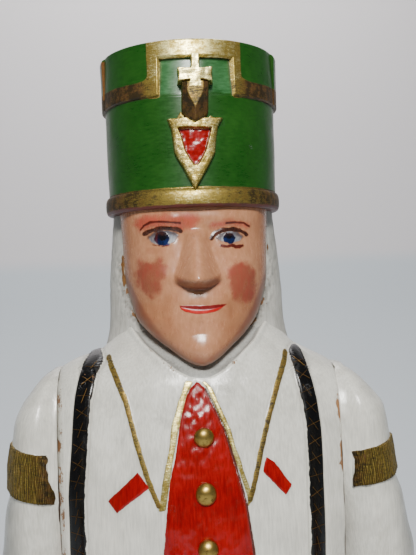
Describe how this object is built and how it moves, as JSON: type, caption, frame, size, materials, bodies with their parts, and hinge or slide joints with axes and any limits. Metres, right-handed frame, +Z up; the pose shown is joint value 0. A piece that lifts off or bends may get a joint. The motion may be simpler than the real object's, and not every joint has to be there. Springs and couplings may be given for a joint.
{
  "type": "wooden miner figure lamp",
  "caption": "Carved and painted wooden miner in a tall green shaft hat with a cross badge, standing on a low base and holding an electric candle in each fist.",
  "frame": {"origin": "middle of the base's underside", "axes": "+Z up from the underside to the hat; the figure looks along -Y; +X is the figure's left"},
  "size_m": [0.2577, 0.2123, 0.7803],
  "materials": {
    "painted_wood": "glossy hand-painted off-white, with red, gold, black and skin tones",
    "gilt_wood": "gold bronze paint over red brown",
    "green_painted_wood": "glossy green paint, worn at the edges",
    "turned_wood": "glossy red paint with gold rims",
    "candle_sleeve": "ivory, satin",
    "brass": "worn brass",
    "bulb_glass": "clear glass",
    "black_plastic": "satin black"
  },
  "bodies": {
    "root": {"figure": "painted_wood", "arm_left": "painted_wood", "arm_right": "painted_wood", "hat_badge": "gilt_wood", "base": "green_painted_wood", "candle_holder_left": "turned_wood", "candle_holder_right": "turned_wood", "candle_left": "candle_sleeve", "candle_right": "candle_sleeve", "bulb_cap_left": "brass", "bulb_cap_right": "brass", "bulb_left": "bulb_glass", "bulb_right": "bulb_glass", "cable_bushing": "black_plastic", "button_1": "brass", "button_2": "brass", "button_3": "brass", "button_4": "brass", "button_5": "brass"}
  },
  "joints": []
}
